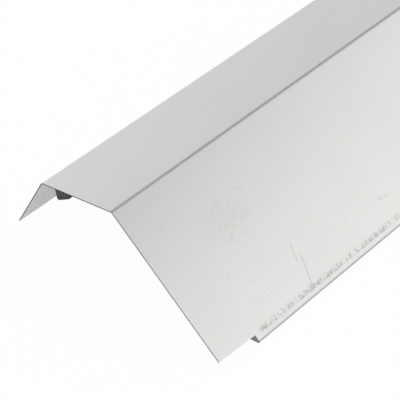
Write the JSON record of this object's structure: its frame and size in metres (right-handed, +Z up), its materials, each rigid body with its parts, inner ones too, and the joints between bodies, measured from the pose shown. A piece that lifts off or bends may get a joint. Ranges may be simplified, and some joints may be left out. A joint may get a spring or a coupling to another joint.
{
  "type": "fascia flashing",
  "caption": "Length of folded aluminium roof-edge flashing with a sloping top flange, a wide fascia flange with an open hem, a short rear leg and a foam sealing strip underneath.",
  "frame": {"origin": "middle of the base of the box round the flashing as it stands on a floor, on the leg's free edge and the lip's tip", "axes": "+Y along the length, from the notched end to the square end; +X from the short leg to the fascia flange; +Z up"},
  "size_m": [0.2314, 2, 0.0902],
  "materials": {
    "aluminium_sheet": "mill-finish sheet, flat and smooth, dull shine, light handling marks",
    "sealing_foam": "dark grey closed-cell foam strip, matt and finely grained"
  },
  "bodies": {
    "root": {"flashing_sheet": "aluminium_sheet", "foam_strip": "sealing_foam"}
  },
  "joints": []
}
